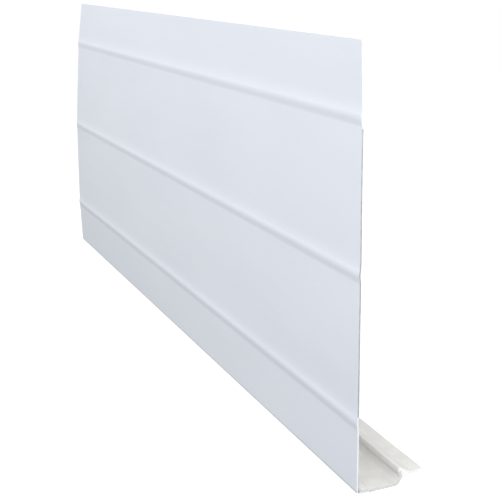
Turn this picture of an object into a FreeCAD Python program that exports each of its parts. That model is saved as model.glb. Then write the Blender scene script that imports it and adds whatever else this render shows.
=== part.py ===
import FreeCAD, Part

# Door sweep, in millimetres: a ribbed face panel of coated aluminium with a soft vinyl seal along its foot.
#
# Every piece is one section pushed along the door. A section is drawn across the door: "reach" runs from the
# panel's face back towards the door leaf (+Y), "height" runs up from the floor line (+Z), and the length of the
# sweep runs along X. The finished pieces are moved together, so that the origin is in the middle of the flat strip
# of the web that the leaf's lower edge sits on.
#
# The seal is one extrusion that bends along two lines. It is drawn as three stiff pieces with a narrow gap at
# each line: the base that is bonded to the panel, the hook that closes round the leaf's lower edge, and the lip.

import os
import re
from collections import namedtuple

import Sketcher

SHEET_NAME = "Dims"
PARTS_FOLDER = "parts"
RIB_COUNT = 3

DRIVING_DIMENSIONS = (
    # the whole sweep
    ("sweep_length", 355.6, "length along the door"),
    ("sweep_height", 152.4, "floor line to the panel's top edge"),
    # face panel
    ("sheet_gauge", 0.5, "thickness of the coated aluminium sheet"),
    ("lowest_rib", 26.0, "height of the lowest rib's centre line"),
    ("rib_pitch", 51.2, "height from one rib to the next"),
    ("rib_width", 5.2, "height of one rib where it leaves the flat sheet"),
    ("rib_rise", 0.35, "how far a rib stands out in front of the face"),
    ("top_setback", 1.0, "how far the top edge leans back behind the face"),
    ("toe_setback", 0.9, "how far the foot leans back behind the face"),
    ("bend_radius", 0.4, "inner radius of the bend at the foot"),
    ("return_depth", 4.4, "depth of the flange turned back under the seal"),
    # seal base
    ("bond_film", 0.2, "thickness of the adhesive between panel and seal"),
    ("vinyl_wall", 0.9, "wall thickness of the seal"),
    ("leg_height", 12.0, "top of the leg that is bonded to the panel"),
    ("joggle_run", 0.9, "reach over which the web steps down off the flange"),
    ("web_reach", 16.6, "rear end of the web, where the leaf's edge sits"),
    # seal hook
    ("foot_reach", 17.75, "outer corner of the hook's foot"),
    ("foot_height", 0.35, "height of that corner"),
    ("riser_slope", 57.0, "slope of the hook's lower wall, in degrees"),
    ("knee_reach", 19.4, "outermost point of the hook"),
    ("knee_height", 2.85, "height of that point"),
    ("crotch_reach", 18.4, "where the hook's outside meets the lip's underside"),
    ("crest_reach", 17.9, "top of the hook"),
    ("crest_height", 6.9, "height of that top"),
    ("nose_chamfer", 0.6, "slope that leads the leaf's edge in past the hook"),
    # seal lip
    ("flex_reach", 19.85, "line where the lip bends on the hook"),
    ("flex_gap", 0.5, "gap left at that line"),
    ("valley_reach", 23.0, "lowest line along the lip's upper face"),
    ("valley_height", 4.15, "height of that line"),
    ("tip_reach", 27.6, "free edge of the lip"),
    ("tip_height", 4.75, "height of that edge's upper corner"),
    ("tip_wall", 0.6, "thickness of the free edge"),
    # mounting tapes
    ("tape_width", 19.0, "height of one foam tape"),
    ("tape_inset", 6.0, "how far a tape stops short of the sweep's ends"),
    ("liner_film", 0.15, "thickness of the release liner"),
    ("liner_overhang", 1.0, "how far the liner stands out round its tape"),
)
ALIASES = {alias for alias, _, _ in DRIVING_DIMENSIONS}

# Outer radius of the bend at the panel's foot
OUTER_BEND = "(bend_radius + sheet_gauge)"
# Rear edge of the panel's flange, and the end of the web's step down behind it
STEP_START = "(toe_setback + return_depth)"
STEP_END = f"({STEP_START} + joggle_run)"

# A corner of a section. With a radius, the edge from this corner to the next is an arc of that radius, which
# bulges to the left (side 1) or to the right (side -1) of the way it runs.
Corner = namedtuple("Corner", "reach height radius side", defaults=(None, 0))


def add_dimension_sheet(doc):
    """Write the driving dimensions into a spreadsheet, one row each: name, value and meaning."""
    sheet = doc.addObject("Spreadsheet::Sheet", SHEET_NAME)
    for row, (alias, value, meaning) in enumerate(DRIVING_DIMENSIONS, start=1):
        sheet.set(f"A{row}", alias)
        sheet.set(f"B{row}", str(value))
        sheet.set(f"C{row}", meaning)
        sheet.setAlias(f"B{row}", alias)
    doc.recompute()
    return sheet


def bound(formula):
    """Turn a formula written with bare dimension names into an expression that reads them from the sheet."""

    def qualify(match):
        word = match.group(0)
        return f"{SHEET_NAME}.{word}" if word in ALIASES else word

    return re.sub(r"[a-z_]+", qualify, formula)


def edge_between(here, there, corner, radius):
    """The straight or round edge from one corner's place to the next."""
    if corner.radius is None:
        return Part.LineSegment(here, there)
    chord = there - here
    half = chord.Length / 2
    sagitta = radius - (radius**2 - half**2) ** 0.5
    outward = FreeCAD.Vector(-chord.y, chord.x, 0).normalize() * corner.side
    return Part.Arc(here, (here + there) / 2 + outward * sagitta, there)


def add_section(body, sheet, corners):
    """Draw a closed section on the body's own YZ plane, each corner tied to the sheet by its reach and height."""
    plane = next(item for item in body.Origin.OriginFeatures if item.Role == "YZ_Plane")
    sketch = body.newObject("Sketcher::SketchObject", body.Name + "_section")
    sketch.AttachmentSupport = [(plane, "")]
    sketch.MapMode = "FlatFace"

    def value(formula):
        return float(sheet.evalExpression(bound(formula)))

    places = [FreeCAD.Vector(value(corner.reach), value(corner.height), 0) for corner in corners]
    starts = []
    ends = []
    for index, corner in enumerate(corners):
        here = places[index]
        there = places[(index + 1) % len(places)]
        radius = value(corner.radius) if corner.radius else 0
        edge = sketch.addGeometry(edge_between(here, there, corner, radius))
        begins_first = sketch.getPoint(edge, 1).isEqual(here, 1e-6)
        starts.append((edge, 1 if begins_first else 2))
        ends.append((edge, 2 if begins_first else 1))

    def tie(formula, kind, *target):
        """Add one dimension and bind it to the sheet."""
        number = sketch.addConstraint(Sketcher.Constraint(kind, *target, value(formula)))
        sketch.setExpression(f"Constraints[{number}]", bound(formula))

    for index, corner in enumerate(corners):
        sketch.addConstraint(Sketcher.Constraint("Coincident", *ends[index - 1], *starts[index]))
        tie(corner.reach, "DistanceX", -1, 1, *starts[index])
        tie(corner.height, "DistanceY", -1, 1, *starts[index])
        if corner.radius:
            tie(corner.radius, "Radius", starts[index][0])
    return sketch


def add_extrusion(doc, sheet, label, corners, length="sweep_length"):
    """Make one named piece: a section pushed along X, the same distance either side of the middle."""
    body = doc.addObject("PartDesign::Body", label)
    body.Label = label
    section = add_section(body, sheet, corners)
    pad = body.newObject("PartDesign::Pad", label + "_pad")
    pad.Profile = section
    pad.SideType = "Symmetric"
    pad.setExpression("Length", bound(length))
    body.setExpression("Placement.Base.y", bound(f"-({STEP_END} + web_reach) / 2"))
    body.setExpression("Placement.Base.z", bound("-vinyl_wall"))
    return body


def rib_height(index):
    """Height of a rib's centre line, counted from the lowest."""
    return f"lowest_rib + {index} * rib_pitch"


def toe_face(height):
    """Reach of the panel's face at a height below the lowest rib, where the sheet leans back to its foot."""
    lean_start = "(lowest_rib - rib_width / 2)"
    return f"toe_setback * ({lean_start} - ({height})) / ({lean_start} - {OUTER_BEND})"


def lip_top(reach):
    """Height of the upper face that slopes from the hook's crest down to the lip's valley."""
    drop = "(crest_height - valley_height) / (valley_reach - crest_reach)"
    return f"crest_height - {drop} * (({reach}) - crest_reach)"


def panel_section():
    """Coated sheet: straight between its ribs, leaning back above and below them, with its foot turned back."""
    rib_radius = "(rib_width ^ 2 / 4 + rib_rise ^ 2) / (2 * rib_rise)"
    corners = [Corner("top_setback", "sweep_height")]
    for index in reversed(range(RIB_COUNT)):
        corners.append(Corner("0", f"{rib_height(index)} + rib_width / 2", rib_radius, -1))
        corners.append(Corner("0", f"{rib_height(index)} - rib_width / 2"))
    corners.append(Corner("toe_setback", OUTER_BEND, OUTER_BEND, -1))
    corners.append(Corner(f"toe_setback + {OUTER_BEND}", "0"))
    corners.append(Corner(STEP_START, "0"))
    corners.append(Corner(STEP_START, "sheet_gauge"))
    corners.append(Corner(f"toe_setback + {OUTER_BEND}", "sheet_gauge", "bend_radius", 1))
    corners.append(Corner("toe_setback + sheet_gauge", OUTER_BEND))
    for index in range(RIB_COUNT):
        corners.append(Corner("sheet_gauge", f"{rib_height(index)} - rib_width / 2", rib_radius, 1))
        corners.append(Corner("sheet_gauge", f"{rib_height(index)} + rib_width / 2"))
    corners.append(Corner("top_setback + sheet_gauge", "sweep_height"))
    return corners


def bond_section():
    """Film of adhesive between the foot of the panel and the leg of the seal."""
    low = OUTER_BEND
    high = "leg_height"
    return [
        Corner(f"{toe_face(low)} + sheet_gauge", low),
        Corner(f"{toe_face(high)} + sheet_gauge", high),
        Corner(f"{toe_face(high)} + sheet_gauge + bond_film", high),
        Corner(f"{toe_face(low)} + sheet_gauge + bond_film", low),
    ]


def base_section():
    """Leg against the panel, and a web that lies on the flange and then steps down to the floor line."""
    low = OUTER_BEND
    high = "leg_height"
    web_top = "sheet_gauge + vinyl_wall"
    leg_front = "sheet_gauge + bond_film"
    leg_rear = f"{leg_front} + vinyl_wall"
    return [
        Corner(f"{toe_face(low)} + {leg_front}", low),
        Corner(f"{toe_face(high)} + {leg_front}", high),
        Corner(f"{toe_face(high)} + {leg_rear}", high),
        Corner(f"{toe_face(web_top)} + {leg_rear}", web_top),
        Corner(STEP_START, web_top),
        Corner(STEP_END, "vinyl_wall"),
        Corner("web_reach", "vinyl_wall"),
        Corner("web_reach", "0"),
        Corner(STEP_END, "0"),
        Corner(STEP_START, "sheet_gauge"),
        Corner(f"toe_setback + {leg_front} + bend_radius", "sheet_gauge"),
    ]


def hook_section():
    """Riser that leans out to its knee and back in to its crest, with the stub that carries the lip."""
    stub_end = "flex_reach - flex_gap / 2"
    return [
        Corner("foot_reach", "foot_height"),
        Corner("knee_reach", "knee_height"),
        Corner("crotch_reach", f"{lip_top('crotch_reach')} - vinyl_wall"),
        Corner(stub_end, f"{lip_top(stub_end)} - vinyl_wall"),
        Corner(stub_end, lip_top(stub_end)),
        Corner("crest_reach", "crest_height"),
        Corner("crest_reach - nose_chamfer", "crest_height - nose_chamfer"),
        Corner("knee_reach - vinyl_wall", "knee_height"),
        Corner(
            "foot_reach - vinyl_wall * sin(riser_slope * 1 deg)",
            "foot_height + vinyl_wall * cos(riser_slope * 1 deg)",
        ),
    ]


def lip_section():
    """Lip that runs down from the hook to its valley and then flares up to a thinner free edge."""
    root = "flex_reach + flex_gap / 2"
    return [
        Corner(root, f"{lip_top(root)} - vinyl_wall"),
        Corner("valley_reach", "valley_height - vinyl_wall"),
        Corner("tip_reach", "tip_height - tip_wall"),
        Corner("tip_reach", "tip_height"),
        Corner("valley_reach", "valley_height"),
        Corner(root, lip_top(root)),
    ]


def tape_section(index):
    """Foam tape on the back of the flat band above a rib, as thick as the seal's leg and its adhesive."""
    middle = f"{rib_height(index)} + rib_pitch / 2"
    rear = "sheet_gauge + bond_film + vinyl_wall"
    return [
        Corner("sheet_gauge", f"{middle} - tape_width / 2"),
        Corner(rear, f"{middle} - tape_width / 2"),
        Corner(rear, f"{middle} + tape_width / 2"),
        Corner("sheet_gauge", f"{middle} + tape_width / 2"),
    ]


def liner_section(index):
    """Release liner on the back of a foam tape, a little larger all round."""
    middle = f"{rib_height(index)} + rib_pitch / 2"
    half = "(tape_width / 2 + liner_overhang)"
    front = "sheet_gauge + bond_film + vinyl_wall"
    return [
        Corner(front, f"{middle} - {half}"),
        Corner(f"{front} + liner_film", f"{middle} - {half}"),
        Corner(f"{front} + liner_film", f"{middle} + {half}"),
        Corner(front, f"{middle} + {half}"),
    ]


def check(doc, pieces):
    """Stop if any object failed to rebuild, or any piece isn't one sound solid."""
    for item in doc.Objects:
        if {"Invalid", "Error"} & set(item.State):
            raise RuntimeError(f"{item.Name} did not rebuild: {item.State}")
    for piece in pieces:
        shape = piece.Shape
        if shape.isNull() or not shape.isValid() or len(shape.Solids) != 1:
            raise RuntimeError(f"{piece.Label} is not one valid solid")


def export(pieces):
    """Write one STEP file for each piece, named after it."""
    os.makedirs(PARTS_FOLDER, exist_ok=True)
    for piece in pieces:
        piece.Shape.exportStep(f"{PARTS_FOLDER}/{piece.Label}.step")
        box = piece.Shape.BoundBox
        spans = f"y {box.YMin:7.2f} to {box.YMax:6.2f}  z {box.ZMin:7.2f} to {box.ZMax:6.2f}"
        print(f"{piece.Label:12s} {piece.Shape.Volume / 1000:8.3f} cm3  {spans}")


doc = FreeCAD.newDocument("door_sweep")
sheet = add_dimension_sheet(doc)
tape_length = "sweep_length - 2 * tape_inset"
liner_length = f"{tape_length} + 2 * liner_overhang"
pieces = [
    add_extrusion(doc, sheet, "face_panel", panel_section()),
    add_extrusion(doc, sheet, "bond_film", bond_section()),
    add_extrusion(doc, sheet, "seal_base", base_section()),
    add_extrusion(doc, sheet, "seal_hook", hook_section()),
    add_extrusion(doc, sheet, "seal_lip", lip_section()),
    add_extrusion(doc, sheet, "lower_tape", tape_section(0), tape_length),
    add_extrusion(doc, sheet, "upper_tape", tape_section(1), tape_length),
    add_extrusion(doc, sheet, "lower_liner", liner_section(0), liner_length),
    add_extrusion(doc, sheet, "upper_liner", liner_section(1), liner_length),
]
doc.recompute()
check(doc, pieces)
export(pieces)
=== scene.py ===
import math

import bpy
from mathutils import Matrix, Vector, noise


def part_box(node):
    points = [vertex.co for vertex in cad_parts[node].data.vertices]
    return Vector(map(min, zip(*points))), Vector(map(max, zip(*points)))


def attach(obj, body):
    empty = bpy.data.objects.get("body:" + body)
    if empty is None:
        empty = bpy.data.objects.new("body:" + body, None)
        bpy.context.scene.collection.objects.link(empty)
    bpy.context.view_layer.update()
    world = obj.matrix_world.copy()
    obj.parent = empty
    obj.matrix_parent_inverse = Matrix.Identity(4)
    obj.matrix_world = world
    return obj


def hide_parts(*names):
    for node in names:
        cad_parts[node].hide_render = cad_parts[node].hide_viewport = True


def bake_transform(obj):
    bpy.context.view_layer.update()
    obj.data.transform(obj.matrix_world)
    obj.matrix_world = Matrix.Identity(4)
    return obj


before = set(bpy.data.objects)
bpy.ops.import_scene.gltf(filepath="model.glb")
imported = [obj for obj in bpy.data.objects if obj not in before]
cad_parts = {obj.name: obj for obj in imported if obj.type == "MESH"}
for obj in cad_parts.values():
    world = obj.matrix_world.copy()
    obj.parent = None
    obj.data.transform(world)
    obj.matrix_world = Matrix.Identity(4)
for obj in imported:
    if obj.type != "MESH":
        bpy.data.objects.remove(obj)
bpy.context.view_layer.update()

# Door sweep: a ribbed sheet of coated aluminium with a soft vinyl seal bonded along its foot.
#
# Lengths are in metres, mostly written as millimetres times MM. Every piece is one section pushed along X. A
# section is a loop of (reach, height) points: reach runs back from the sheet's own face at that height, and
# height runs up from the floor line. place() then stands the section up, and gives the springy sheet its
# slight twist.

MM = 0.001
panel_low, panel_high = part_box("face_panel")
_, base_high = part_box("seal_base")
_, hook_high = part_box("seal_hook")
_, lip_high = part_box("seal_lip")

# ---------------------------------------------------------------- sizes

HALF_LENGTH = panel_high.x
FLOOR = panel_low.z
HEIGHT = panel_high.z - FLOOR

# Coated sheet
GAUGE = 0.5 * MM
RIB_RISE = 0.30 * MM
RIB_WIDTH = 6.6 * MM
RIB_ROOM = 0.05 * MM
LOWEST_RIB = 26.0 * MM
RIB_PITCH = 51.2 * MM
RIBS = [LOWEST_RIB + index * RIB_PITCH for index in range(3)]
BEND = 1.4 * MM
FLANGE = 4.3 * MM
FACE = panel_low.y + RIB_RISE + RIB_ROOM
BEND_STEPS = 9

# How closely the sheet is drawn: over the ribs, out to a share of their width, and over the flat bands
RIB_STEP = 0.3 * MM
RIB_SURROUND = 0.6
BAND_STEP = 2.5 * MM

# How far behind the true face plane the sheet stands, from the foot up to the top edge, at its two ends
LEAN_HEIGHTS = [0.0, *RIBS, HEIGHT]
FAR_LEAN = [1.2 * MM, 0.0, 0.0, 2.8 * MM, 5.6 * MM]
NEAR_LEAN = [1.7 * MM, 1.5 * MM, 1.0 * MM, 0.5 * MM, -0.3 * MM]

# Waviness of the sheet: its depth, and the size of one swell
RIPPLE = 0.12 * MM
RIPPLE_LENGTH = 70 * MM
RIPPLE_HEIGHT = 30 * MM

# Vinyl seal
BOND = 0.2 * MM
WALL = 0.9 * MM
LEG_FRONT = GAUGE + BOND
LEG_REAR = LEG_FRONT + WALL
LEG_TOP = base_high.z - FLOOR
WEB_TOP = GAUGE + WALL
STEP = 0.9 * MM
FOOT = Vector((17.3, 0.4)) * MM
FOOT_RUN = 0.7 * MM
KNEE = Vector((19.05, 2.85)) * MM
CROTCH = Vector((18.3, 5.5)) * MM
CREST = Vector((17.45 * MM, hook_high.z - FLOOR))
NOSE = Vector((17.2, 4.7)) * MM
HOLLOW = Vector((17.8, 3.2)) * MM
FOLD = Vector((16.8 * MM, WALL))
LEG_SNIP = 2.2 * MM
SNIP_SLOPE = 3
LEG_MARGIN = 0.1 * MM
ROOT_INSET = 1.3 * MM
BOND_SHORT = 0.5 * MM
VALLEY = Vector((22.8, 4.15)) * MM
TIP = Vector((lip_high.y - FACE, 4.75 * MM))
TIP_WALL = 0.6 * MM

# The lip's trimmed edge: how far it is cut back, how that wanders and nicks, how far it sags, and the length
# of each swing. The trim fades out over the last share of the half length, at the near end.
TRIM = 0.2 * MM
TRIM_SWING = 0.3 * MM
TRIM_LENGTH = 26 * MM
NICK = 0.16 * MM
NICK_LENGTH = 3.2 * MM
SAG = 0.35 * MM
SAG_LENGTH = 45 * MM
UNTRIMMED = 0.1
TRIM_SEED = 3.1
NICK_SEED = 8.4
SAG_SEED = 5.7

# Roughness of the vinyl's knife-cut ends
CHANNEL_CHIPS = 0.25 * MM
LIP_CHIPS = 0.35 * MM
CHIP_LENGTH = 1.3 * MM

# Foam tapes and release liners: the foam's corner radii, how far a liner lifts along its edges, and how far
# it curls up over the last share of its half length, at each end
FOAM_FRONT_RADIUS = 0.1 * MM
FOAM_REAR_RADIUS = 0.25 * MM
EDGE_LIFT = 0.25 * MM
EDGE_SHARPNESS = 8
LIFT_LENGTH = 22 * MM
LIFT_HEIGHT = 9 * MM
END_CURL = 1.2 * MM
CURL_SHARE = 0.03

# Faces that meet at more than this are shaded as a sharp edge
CREASE = math.radians(40)

# ---------------------------------------------------------------- shape helpers


def between(low, high, share):
    """The value a share of the way from low to high."""
    return low + (high - low) * share


def lean(x, height):
    """How far behind the face plane the sheet stands: straight in each band, with a new slope at each rib."""
    share = (x / HALF_LENGTH + 1) / 2
    offsets = [between(far, near, share) for far, near in zip(FAR_LEAN, NEAR_LEAN)]
    band = sum(height > edge for edge in LEAN_HEIGHTS[1:-1])
    low, high = LEAN_HEIGHTS[band], LEAN_HEIGHTS[band + 1]
    return between(offsets[band], offsets[band + 1], (height - low) / (high - low))


def ripple(x, height):
    """Slight waviness of the thin sheet between its ribs, fading out at the stiff foot."""
    wave = noise.noise(Vector((x / RIPPLE_LENGTH, 0.0, height / RIPPLE_HEIGHT)))
    return RIPPLE * wave * min(1.0, height / LOWEST_RIB)


def place(x, reach, height):
    """Stand a section point up at x.

    The sheet's lean and ripple count in full as far back as the flange, and fade to none at the lip's tip.
    """
    free = max(0.0, (reach - FLANGE) / (TIP.x - FLANGE))
    offset = (lean(x, height) + ripple(x, height)) * (1 - free)
    return Vector((x, FACE + reach + offset, FLOOR + height))


def wander(x, length, seed):
    """A smooth swing along X between about -1 and 1. Each seed gives a different one."""
    return noise.noise(Vector((x / length, seed, 0.0)))


def place_lip(x, reach, height):
    """place() for the lip, whose knife-trimmed edge wanders and sags a little."""
    share = max(0.0, (reach - KNEE.x) / (TIP.x - KNEE.x))
    trim = TRIM + TRIM_SWING * wander(x, TRIM_LENGTH, TRIM_SEED)
    trim += NICK * wander(x, NICK_LENGTH, NICK_SEED)
    sag = SAG * wander(x, SAG_LENGTH, SAG_SEED)
    whole = max(0.0, x / HALF_LENGTH - (1 - UNTRIMMED)) / UNTRIMMED
    reach -= share * max(0.0, trim * (1 - whole))
    return place(x, reach, height + share * sag)


def arc(before, corner, after, radius, steps):
    """Points that round one corner."""
    back = (before - corner).normalized()
    ahead = (after - corner).normalized()
    half_angle = back.angle(ahead) / 2
    room = 0.49 * min((before - corner).length, (after - corner).length)
    tangent = min(radius / math.tan(half_angle), room)
    start, end = corner + back * tangent, corner + ahead * tangent
    centre = corner + (back + ahead).normalized() * (tangent / math.cos(half_angle))
    reach = (start - centre).length
    points = []
    for step in range(steps + 1):
        direction = (start - centre).lerp(end - centre, step / steps)
        points.append(centre + direction.normalized() * reach)
    return points


def rounded(corners, steps=6):
    """A closed loop through corners given as (point, radius). A radius of 0 keeps the corner sharp."""
    loop = []
    for index, (corner, radius) in enumerate(corners):
        if radius:
            before = corners[index - 1][0]
            after = corners[(index + 1) % len(corners)][0]
            loop += arc(before, corner, after, radius, steps)
        else:
            loop.append(corner)
    return loop


def dense(loop, longest):
    """The same loop with its long runs divided."""
    points = []
    for index, here in enumerate(loop):
        there = loop[(index + 1) % len(loop)]
        pieces = max(1, math.ceil((there - here).length / longest))
        points += [here.lerp(there, piece / pieces) for piece in range(pieces)]
    return points


def chips(point, depth):
    """How far a knife cut wanders back from the true end."""
    return depth * abs(noise.noise(Vector((point.x, point.y, 0.0)) / CHIP_LENGTH))


def whole_cap(count, first):
    """One end of a loft, as a single face over the points counted from first."""
    return [tuple(range(first, first + count))]


def sheet_cap(count, first):
    """One end of a bent sheet, as small faces across it. The loop's second half retraces its first."""
    last = first + count - 1
    return [(first + step, first + step + 1, last - step - 1, last - step) for step in range(count // 2 - 1)]


def loft(
    name,
    loop,
    materials,
    half_length=HALF_LENGTH,
    stand=place,
    pitch=4 * MM,
    shade=None,
    make_cap=whole_cap,
    cap_shade=None,
    setback=None,
):
    """Push a closed section along X, and close both ends. The loop runs anticlockwise, seen from the +X end.

    shade(point) picks the material of the run that starts at a loop point: with none, it is the first one.
    cap_shade(point) picks that of the part of an end which starts there: with none, it is the last one.
    setback(point) is how far the ends stand back there.
    """
    stations = math.ceil(2 * half_length / pitch)
    count = len(loop)
    vertices = []
    for station in range(stations + 1):
        x = between(-half_length, half_length, station / stations)
        for point in loop:
            vertices.append(stand(x, point.x, point.y))
    for index in range(count if setback else 0):
        back = setback(loop[index])
        vertices[index].x += back
        vertices[index - count].x -= back
    low_end = [corners[::-1] for corners in make_cap(count, 0)]
    high_end = make_cap(count, stations * count)
    faces = low_end + high_end
    shades = []
    for corners in low_end + high_end:
        start = loop[min(corners) % count]
        shades.append(cap_shade(start) if cap_shade else len(materials) - 1)
    for station in range(stations):
        base = station * count
        for index in range(count):
            after = (index + 1) % count
            faces.append((base + index, base + after, base + count + after, base + count + index))
            shades.append(shade(loop[index]) if shade else 0)
    mesh = bpy.data.meshes.new(name)
    mesh.from_pydata(vertices, [], faces)
    for material in materials:
        mesh.materials.append(material)
    mesh.polygons.foreach_set("material_index", shades)
    mesh.polygons.foreach_set("use_smooth", [True] * len(faces))
    mesh.set_sharp_from_angle(angle=CREASE)
    mesh.validate()
    piece = bpy.data.objects.new(name, mesh)
    bpy.context.scene.collection.objects.link(piece)
    return piece


# ---------------------------------------------------------------- materials


class Surface:
    """Builds one procedural material with short calls."""

    def __init__(self, name):
        self.material = bpy.data.materials.new(name)
        self.material.use_nodes = True
        self.tree = self.material.node_tree
        self.shader = self.tree.nodes["Principled BSDF"]
        self.where = self.tree.nodes.new("ShaderNodeTexCoord").outputs["Object"]

    def feed(self, socket, value):
        if isinstance(value, bpy.types.NodeSocket):
            self.tree.links.new(value, socket)
        else:
            socket.default_value = value

    def add(self, kind, inputs):
        node = self.tree.nodes.new(kind)
        for key, value in inputs.items():
            self.feed(node.inputs[key], value)
        return node

    def stretch(self, *scale):
        return self.add("ShaderNodeMapping", {"Vector": self.where, "Scale": scale}).outputs["Vector"]

    def noise(self, scale, detail=3.0, where=None):
        inputs = {"Vector": where or self.where, "Scale": scale, "Detail": detail}
        return self.add("ShaderNodeTexNoise", inputs).outputs["Fac"]

    def spread(self, value, low, high):
        """Turn the middle of a noise's range into low to high."""
        inputs = {"Value": value, "From Min": 0.3, "From Max": 0.7, "To Min": low, "To Max": high}
        return self.add("ShaderNodeMapRange", inputs).outputs["Result"]

    def colours(self, value, first, second):
        """Colour the middle of a noise's range from first to second."""
        node = self.add("ShaderNodeValToRGB", {"Fac": value})
        for stop, position, colour in zip(node.color_ramp.elements, (0.3, 0.7), (first, second)):
            stop.position = position
            stop.color = (*colour, 1)
        return node.outputs["Color"]

    def bump(self, height, depth, strength=1.0, under=None):
        inputs = {"Height": height, "Distance": depth, "Strength": strength}
        if under:
            inputs["Normal"] = under
        return self.add("ShaderNodeBump", inputs).outputs["Normal"]

    def finish(self, **inputs):
        for key, value in inputs.items():
            self.feed(self.shader.inputs[key.replace("_", " ")], value)
        return self.material


def coil_coat():
    """Cool white baked paint on rolled sheet: orange peel, faint rolling lines, and soft clouds of colour."""
    surface = Surface("coil_coat")
    peel = surface.noise(700, 2)
    rolled = surface.noise(30, 4, surface.stretch(0.5, 1, 12))
    cloud = surface.noise(14, 3, surface.stretch(1, 1, 3))
    colour = surface.colours(cloud, (0.700, 0.740, 0.806), (0.722, 0.760, 0.824))
    relief = surface.bump(peel, 0.02 * MM, under=surface.bump(rolled, 0.02 * MM))
    return surface.finish(Base_Color=colour, Roughness=surface.spread(rolled, 0.40, 0.50), Normal=relief)


def wash_coat():
    """Thin grey-white coat on the back of the sheet, where the rolling lines show through."""
    surface = Surface("wash_coat")
    rolled = surface.noise(40, 6, surface.stretch(0.3, 1, 20))
    cloud = surface.noise(25, 4)
    colour = surface.colours(rolled, (0.82, 0.815, 0.79), (0.87, 0.865, 0.84))
    relief = surface.bump(rolled, 0.04 * MM)
    return surface.finish(Base_Color=colour, Roughness=surface.spread(cloud, 0.42, 0.6), Normal=relief)


def cut_metal():
    """Bare sheared edge of the sheet."""
    surface = Surface("cut_metal")
    shear = surface.noise(900, 4, surface.stretch(1, 1, 0.3))
    colour = surface.colours(shear, (0.34, 0.35, 0.37), (0.50, 0.51, 0.53))
    relief = surface.bump(shear, 0.05 * MM)
    return surface.finish(
        Base_Color=colour,
        Roughness=surface.spread(shear, 0.4, 0.65),
        Normal=relief,
        Metallic=0.4,
    )


def vinyl():
    """Flexible cream vinyl: soft sheen, die lines along the extrusion, and a little mottling."""
    surface = Surface("vinyl")
    lines = surface.noise(60, 3, surface.stretch(0.1, 9, 9))
    mottle = surface.noise(160, 4)
    grain = surface.noise(1500, 2)
    colour = surface.colours(mottle, (0.635, 0.63, 0.615), (0.70, 0.70, 0.69))
    relief = surface.bump(grain, 0.03 * MM, under=surface.bump(lines, 0.05 * MM))
    return surface.finish(
        Base_Color=colour,
        Roughness=surface.spread(grain, 0.42, 0.58),
        Normal=relief,
        Subsurface_Weight=0.1,
        Subsurface_Radius=(1.0 * MM, 0.8 * MM, 0.6 * MM),
        Subsurface_Scale=1.0,
    )


def cut_vinyl(name, first, second):
    """Knife-cut end of the vinyl, marked by the blade, in the two colours passed in: these give the channel's
    ends painted shade and the lip's ends a painted highlight.
    """
    surface = Surface(name)
    drag = surface.noise(500, 4, surface.stretch(1, 3, 0.6))
    colour = surface.colours(drag, first, second)
    return surface.finish(
        Base_Color=colour,
        Roughness=surface.spread(drag, 0.4, 0.7),
        Normal=surface.bump(drag, 0.08 * MM),
    )


def foam():
    """White closed-cell foam."""
    surface = Surface("foam")
    voronoi = surface.add("ShaderNodeTexVoronoi", {"Vector": surface.where, "Scale": 2200.0})
    cells = voronoi.outputs["Distance"]
    colour = surface.colours(cells, (0.62, 0.62, 0.60), (0.82, 0.82, 0.80))
    return surface.finish(
        Base_Color=colour,
        Roughness=surface.spread(cells, 0.85, 0.95),
        Normal=surface.bump(cells, 0.15 * MM),
    )


def liner_paper():
    """Glazed pale yellow release paper: fine matted fibres, and a sheen that comes and goes."""
    surface = Surface("liner_paper")
    fibres = surface.noise(900, 5, surface.stretch(0.6, 1, 1))
    cockle = surface.noise(45, 2, surface.stretch(1, 1, 0.4))
    colour = surface.colours(fibres, (0.68, 0.58, 0.37), (0.75, 0.66, 0.45))
    relief = surface.bump(fibres, 0.02 * MM, under=surface.bump(cockle, 0.25 * MM))
    return surface.finish(Base_Color=colour, Roughness=surface.spread(cockle, 0.28, 0.42), Normal=relief)


def glue():
    """Clear yellowish adhesive."""
    surface = Surface("glue")
    lumps = surface.noise(400, 3)
    colour = surface.colours(lumps, (0.58, 0.53, 0.40), (0.70, 0.66, 0.53))
    return surface.finish(
        Base_Color=colour,
        Roughness=surface.spread(lumps, 0.2, 0.35),
        Normal=surface.bump(lumps, 0.1 * MM),
    )


def studio_floor():
    """Matt white acrylic, lit from below."""
    surface = Surface("studio_floor")
    fibres = surface.noise(120, 4)
    colour = surface.colours(fibres, (0.29, 0.29, 0.29), (0.31, 0.31, 0.31))
    return surface.finish(
        Base_Color=colour,
        Roughness=surface.spread(fibres, 0.9, 1.0),
        Specular_IOR_Level=0.0,
        Emission_Color=(1, 1, 1, 1),
        Emission_Strength=0.8,
    )


# ---------------------------------------------------------------- pieces


def rib(height):
    """How far a rib stands out at a height: a soft pressed bead."""
    for middle in RIBS:
        share = abs(height - middle) / (RIB_WIDTH / 2)
        if share < 1:
            return RIB_RISE * (1 + math.cos(math.pi * share)) / 2
    return 0.0


def sheet_heights():
    """Heights at which the sheet is drawn, from the top edge down to the bend, closer over the ribs."""
    heights = []
    height = HEIGHT
    while height > BEND:
        heights.append(height)
        near_rib = min(abs(height - middle) for middle in RIBS) < RIB_WIDTH * RIB_SURROUND
        height -= RIB_STEP if near_rib else BAND_STEP
    return heights


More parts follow.
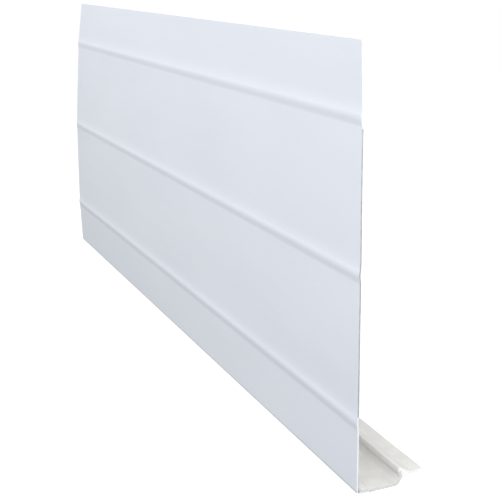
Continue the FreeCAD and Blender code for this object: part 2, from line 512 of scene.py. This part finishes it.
def make_panel():
    """Coated sheet with its foot turned back: painted in front, washed behind, bare where it was cut."""
    heights = sheet_heights()
    face = [Vector((-rib(height), height)) for height in heights]
    back = [Vector((GAUGE - rib(height), height)) for height in reversed(heights)]
    bend_centre = Vector((BEND, BEND))
    turns = [math.radians(90 * step / BEND_STEPS) for step in range(BEND_STEPS + 1)]
    outside = [bend_centre - Vector((math.cos(turn), math.sin(turn))) * BEND for turn in turns]
    inside = [bend_centre - Vector((math.cos(turn), math.sin(turn))) * (BEND - GAUGE) for turn in turns[::-1]]
    flange = [Vector((FLANGE, 0.0)), Vector((FLANGE, GAUGE))]
    loop = face + outside + flange + inside + back
    painted, washed, bare = range(3)
    shade_of = {}
    for point in face + outside:
        shade_of[tuple(point)] = painted
    for point in flange + inside + back:
        shade_of[tuple(point)] = washed
    shade_of[tuple(flange[0])] = bare
    shade_of[tuple(back[-1])] = painted
    bare_low = RIBS[0] + RIB_WIDTH / 2
    bare_high = RIBS[-1] - RIB_WIDTH / 2

    piece = loft(
        "panel_sheet",
        loop,
        [coil_coat(), wash_coat(), cut_metal()],
        shade=lambda point: shade_of[tuple(point)],
        make_cap=sheet_cap,
        cap_shade=lambda point: bare if bare_low < point.y < bare_high else painted,
    )
    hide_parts("face_panel")
    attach(piece, "carrier")


def make_bond():
    """Film of adhesive between the sheet and the seal's leg."""
    low, high = BEND, LEG_TOP - BOND_SHORT
    loop = [Vector(corner) for corner in ((GAUGE, low), (LEG_FRONT, low), (LEG_FRONT, high), (GAUGE, high))]
    piece = loft("bond_line", dense(loop, longest=1.0 * MM), [glue()], setback=lambda point: LEG_SNIP)
    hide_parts("bond_film")
    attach(piece, "carrier")


def make_channel(material):
    """Leg, web and riser of the seal, as corners with their radii."""
    # The channel's cut ends are darker than the vinyl itself: painted shade.
    painted_shade_cut = cut_vinyl("painted_shade_cut_vinyl", (0.47, 0.48, 0.48), (0.59, 0.60, 0.60))
    channel = [
        (Vector((LEG_FRONT, LEG_TOP)), 0.2 * MM),
        (Vector((LEG_FRONT, BEND)), 0),
        (Vector((BEND, GAUGE)), 0),
        (Vector((FLANGE, GAUGE)), 0.3 * MM),
        (Vector((FLANGE + STEP, 0)), 0.5 * MM),
        (Vector((FOOT.x - FOOT_RUN, 0)), 0.8 * MM),
        (FOOT, 0.5 * MM),
        (KNEE, 0.6 * MM),
        (CROTCH, 0),
        (NOSE, 0),
        (HOLLOW, 1.5 * MM),
        (FOLD, 1.5 * MM),
        (Vector((FLANGE + STEP, WALL)), 0.8 * MM),
        (Vector((FLANGE, WEB_TOP)), 0.6 * MM),
        (Vector((LEG_REAR, WEB_TOP)), 0.8 * MM),
        (Vector((LEG_REAR, LEG_TOP)), 0.35 * MM),
    ]

    def setback(point):
        """The leg is snipped back, on a slope where it leaves the web."""
        on_leg = point.x < LEG_REAR + LEG_MARGIN and point.y > WEB_TOP
        snip = min(LEG_SNIP, SNIP_SLOPE * (point.y - WEB_TOP)) if on_leg else 0.0
        return snip + chips(point, CHANNEL_CHIPS)

    loop = dense(rounded(channel), longest=1.0 * MM)
    piece = loft("seal_channel", loop, [material, painted_shade_cut], pitch=3 * MM, setback=setback)
    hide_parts("seal_base")
    web_end = place(0, FOOT.x - ROOT_INSET, WALL / 2)
    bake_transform(piece)


def make_lip(material):
    """Crest of the hook and the lip behind it, as corners with their radii."""
    # The lip's cut ends are lighter than the vinyl itself: a painted highlight.
    painted_highlight_cut = cut_vinyl("painted_highlight_cut_vinyl", (0.70, 0.70, 0.68), (0.84, 0.84, 0.83))
    lip = [
        (NOSE, 0),
        (CROTCH, 0),
        (VALLEY - Vector((0, WALL)), 2.0 * MM),
        (TIP - Vector((0, TIP_WALL)), 0.2 * MM),
        (TIP, 0.2 * MM),
        (VALLEY, 2.5 * MM),
        (CREST, 1.1 * MM),
    ]
    loop = dense(rounded(lip), longest=0.8 * MM)
    piece = loft(
        "seal_lip_strip",
        loop,
        [material, painted_highlight_cut],
        stand=place_lip,
        pitch=1 * MM,
        setback=lambda point: chips(point, LIP_CHIPS),
    )
    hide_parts("seal_hook", "seal_lip")
    place(0, 19.5 * MM, TIP.y)
    place(0, 20.5 * MM, TIP.y)
    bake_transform(piece)


def make_tape(level, material):
    """Foam tape on the back of one of the sheet's bands."""
    low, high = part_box(level + "_tape")
    bottom, top = low.z - FLOOR, high.z - FLOOR
    front, rear = GAUGE, high.y - FACE
    corners = [
        (Vector((front, top)), FOAM_FRONT_RADIUS),
        (Vector((front, bottom)), FOAM_FRONT_RADIUS),
        (Vector((rear, bottom)), FOAM_REAR_RADIUS),
        (Vector((rear, top)), FOAM_REAR_RADIUS),
    ]
    loop = dense(rounded(corners, steps=3), longest=1.5 * MM)
    piece = loft(level + "_foam", loop, [material], half_length=high.x)
    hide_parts(level + "_tape")
    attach(piece, "carrier")


def make_liner(level, paper):
    """Release liner on a foam tape, lifting a little along its edges and curling up at its ends."""
    low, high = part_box(level + "_liner")
    bottom, top = low.z - FLOOR, high.z - FLOOR
    front, rear = low.y - FACE, high.y - FACE

    def stand(x, reach, height):
        edge = abs(2 * (height - bottom) / (top - bottom) - 1)
        end = max(0.0, abs(x) / high.x - (1 - CURL_SHARE)) / CURL_SHARE
        swell = abs(noise.noise(Vector((x / LIFT_LENGTH, height / LIFT_HEIGHT, 0.0))))
        lift = EDGE_LIFT * edge**EDGE_SHARPNESS * swell
        return place(x, reach + lift + END_CURL * end**2, height)

    corners = [Vector(corner) for corner in ((front, top), (front, bottom), (rear, bottom), (rear, top))]
    loop = dense(corners, longest=1.0 * MM)
    piece = loft(level + "_paper", loop, [paper], half_length=high.x, stand=stand, pitch=2 * MM)
    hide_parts(level + "_liner")
    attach(piece, "carrier")


make_panel()
make_bond()
seal_vinyl = vinyl()
make_channel(seal_vinyl)
make_lip(seal_vinyl)
tape_foam = foam()
tape_paper = liner_paper()
for level in ("lower", "upper"):
    make_tape(level, tape_foam)
    make_liner(level, tape_paper)

# ---------------------------------------------------------------- studio

CAMERA_PLACE = Vector((442.3, -167.1, 172.3)) * MM
CAMERA_AZIMUTH = math.radians(65.94)
CAMERA_ELEVATION = math.radians(11.94)
CAMERA_LENS = 71.6
CAMERA_SHIFT_DOWN = 0.14
CAMERA_CLIP = 0.01
FLOOR_HALF = 20.0
GROUND_LIGHT = 0.10
SURROUND_LIGHT = 0.70

# Heights on the world's unit sphere between which the ground's light gives way to the surroundings'
GROUND_TOP = -0.9
SURROUND_BASE = -0.2


def make_floor():
    """Pale floor that the camera sees, but which throws no light or reflection onto the part."""
    signs = ((-1, -1), (1, -1), (1, 1), (-1, 1))
    corners = [(across * FLOOR_HALF, along * FLOOR_HALF, FLOOR) for across, along in signs]
    mesh = bpy.data.meshes.new("floor")
    mesh.from_pydata(corners, [], [(0, 1, 2, 3)])
    mesh.materials.append(studio_floor())
    floor = bpy.data.objects.new("floor", mesh)
    bpy.context.scene.collection.objects.link(floor)
    floor.visible_diffuse = False
    floor.visible_glossy = False


def make_light(name, where, target, size, power):
    """Square soft light that faces its target."""
    light = bpy.data.lights.new(name, "AREA")
    light.shape = "SQUARE"
    light.size = size
    light.energy = power
    lamp = bpy.data.objects.new(name, light)
    lamp.location = where
    lamp.rotation_euler = (Vector(target) - Vector(where)).to_track_quat("-Z", "Y").to_euler()
    bpy.context.scene.collection.objects.link(lamp)


def make_world():
    """Even white surroundings over a darker ground."""
    world = bpy.data.worlds.new("studio")
    world.use_nodes = True
    tree = world.node_tree
    sky = tree.nodes["Background"]
    where = tree.nodes.new("ShaderNodeTexCoord")
    split = tree.nodes.new("ShaderNodeSeparateXYZ")
    rise = tree.nodes.new("ShaderNodeMapRange")
    settings = {
        "From Min": GROUND_TOP,
        "From Max": SURROUND_BASE,
        "To Min": GROUND_LIGHT,
        "To Max": SURROUND_LIGHT,
    }
    for key, value in settings.items():
        rise.inputs[key].default_value = value
    tree.links.new(where.outputs["Generated"], split.inputs["Vector"])
    tree.links.new(split.outputs["Z"], rise.inputs["Value"])
    tree.links.new(rise.outputs["Result"], sky.inputs["Strength"])
    sky.inputs["Color"].default_value = (1, 1, 1, 1)
    bpy.context.scene.world = world


def make_camera():
    """Camera at the photograph's viewing angle."""
    data = bpy.data.cameras.new("camera")
    data.lens = CAMERA_LENS
    data.shift_y = -CAMERA_SHIFT_DOWN
    data.clip_start = CAMERA_CLIP
    camera = bpy.data.objects.new("camera", data)
    forward = Vector((-math.sin(CAMERA_AZIMUTH), math.cos(CAMERA_AZIMUTH), -math.tan(CAMERA_ELEVATION)))
    camera.location = CAMERA_PLACE
    camera.rotation_euler = forward.to_track_quat("-Z", "Y").to_euler()
    bpy.context.scene.collection.objects.link(camera)
    bpy.context.scene.camera = camera


make_floor()
make_world()
make_light("near_key", where=(0.30, -0.25, 0.40), target=(0.12, 0, 0.10), size=0.25, power=0.6)
make_light("far_key", where=(-0.15, -0.30, 0.60), target=(0, 0, 0.10), size=0.35, power=1.9)
make_light("end_fill", where=(0.9, -0.12, 0.4), target=(0.15, 0, 0), size=0.4, power=5.0)
make_light("rear_fill", where=(0.15, 0.6, 0.5), target=(0.15, 0, 0), size=0.5, power=1.0)
make_camera()
bpy.context.scene.view_settings.view_transform = "Standard"
